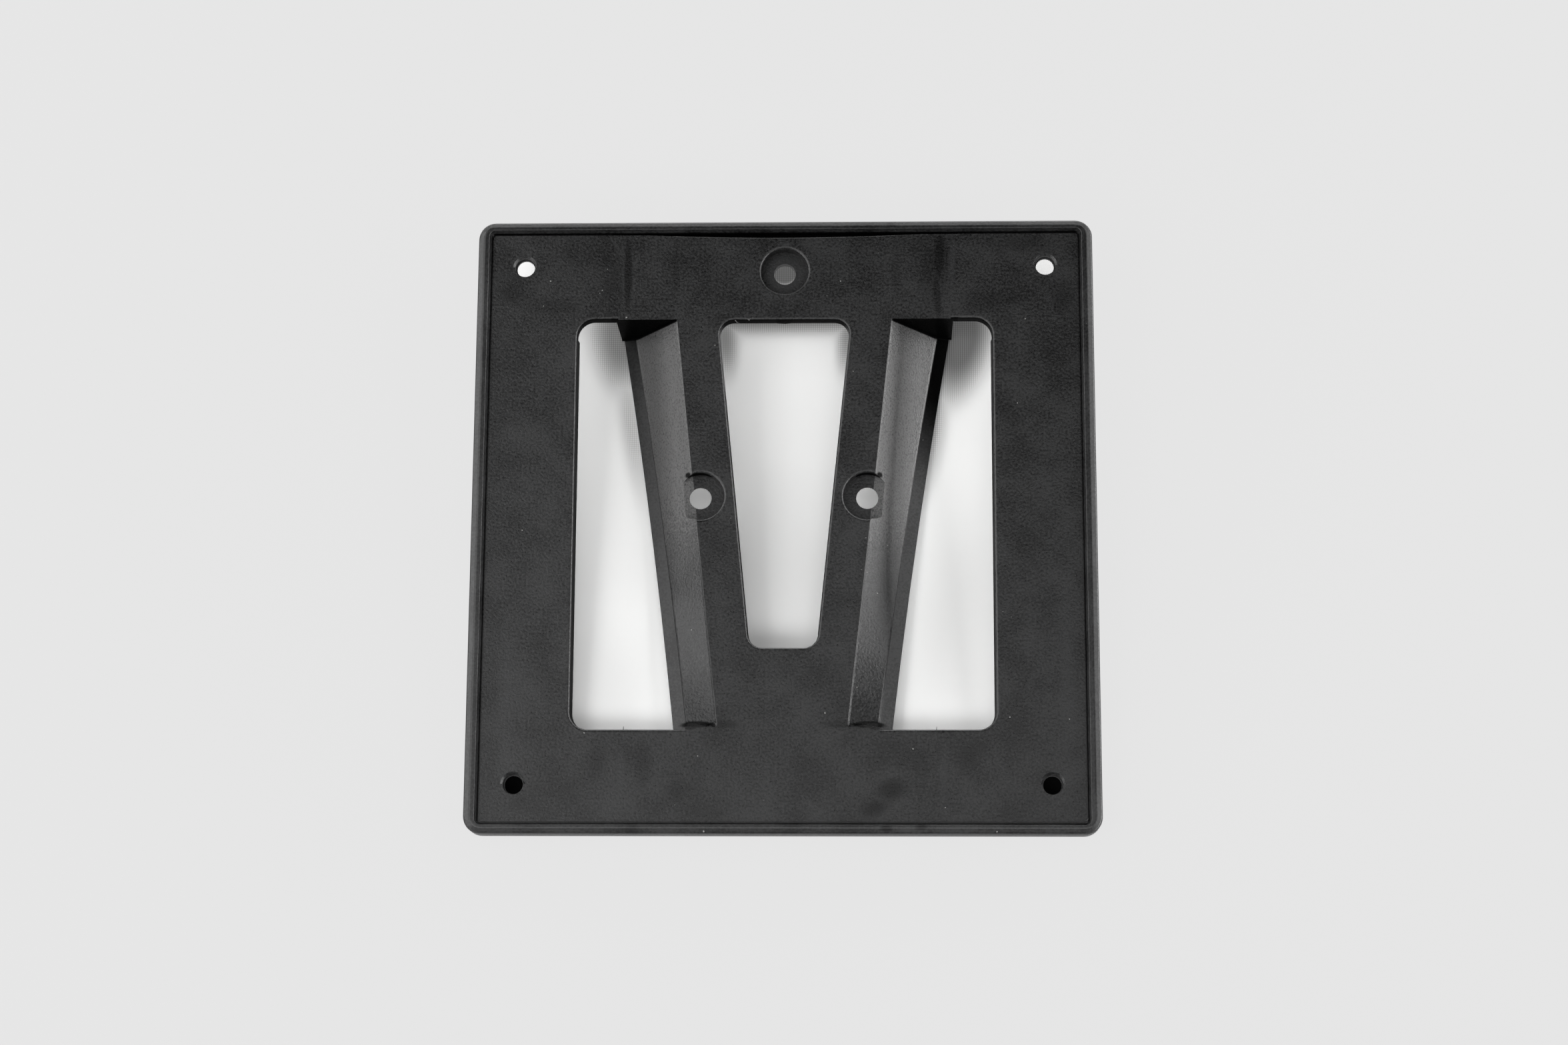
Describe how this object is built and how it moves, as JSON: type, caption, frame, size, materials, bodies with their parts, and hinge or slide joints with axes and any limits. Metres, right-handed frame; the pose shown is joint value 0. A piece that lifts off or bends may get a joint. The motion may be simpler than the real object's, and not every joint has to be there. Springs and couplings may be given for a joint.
{
  "type": "number plate holder",
  "caption": "Square moulded plastic tray that holds a motorcycle number plate on its seat, with a raised rim, plate holes, openings and recessed mounting holes.",
  "frame": {"origin": "middle of the four plate holes, on the seat that the plate lies on", "axes": "+X to the right and +Y to the top of the plate as seen from the front, +Z out of the seat towards the viewer"},
  "size_m": [0.1864, 0.1865, 0.0254],
  "materials": {
    "black_plastic": "satin, with a fine grain"
  },
  "bodies": {
    "root": {"plate_holder": "black_plastic"}
  },
  "joints": []
}
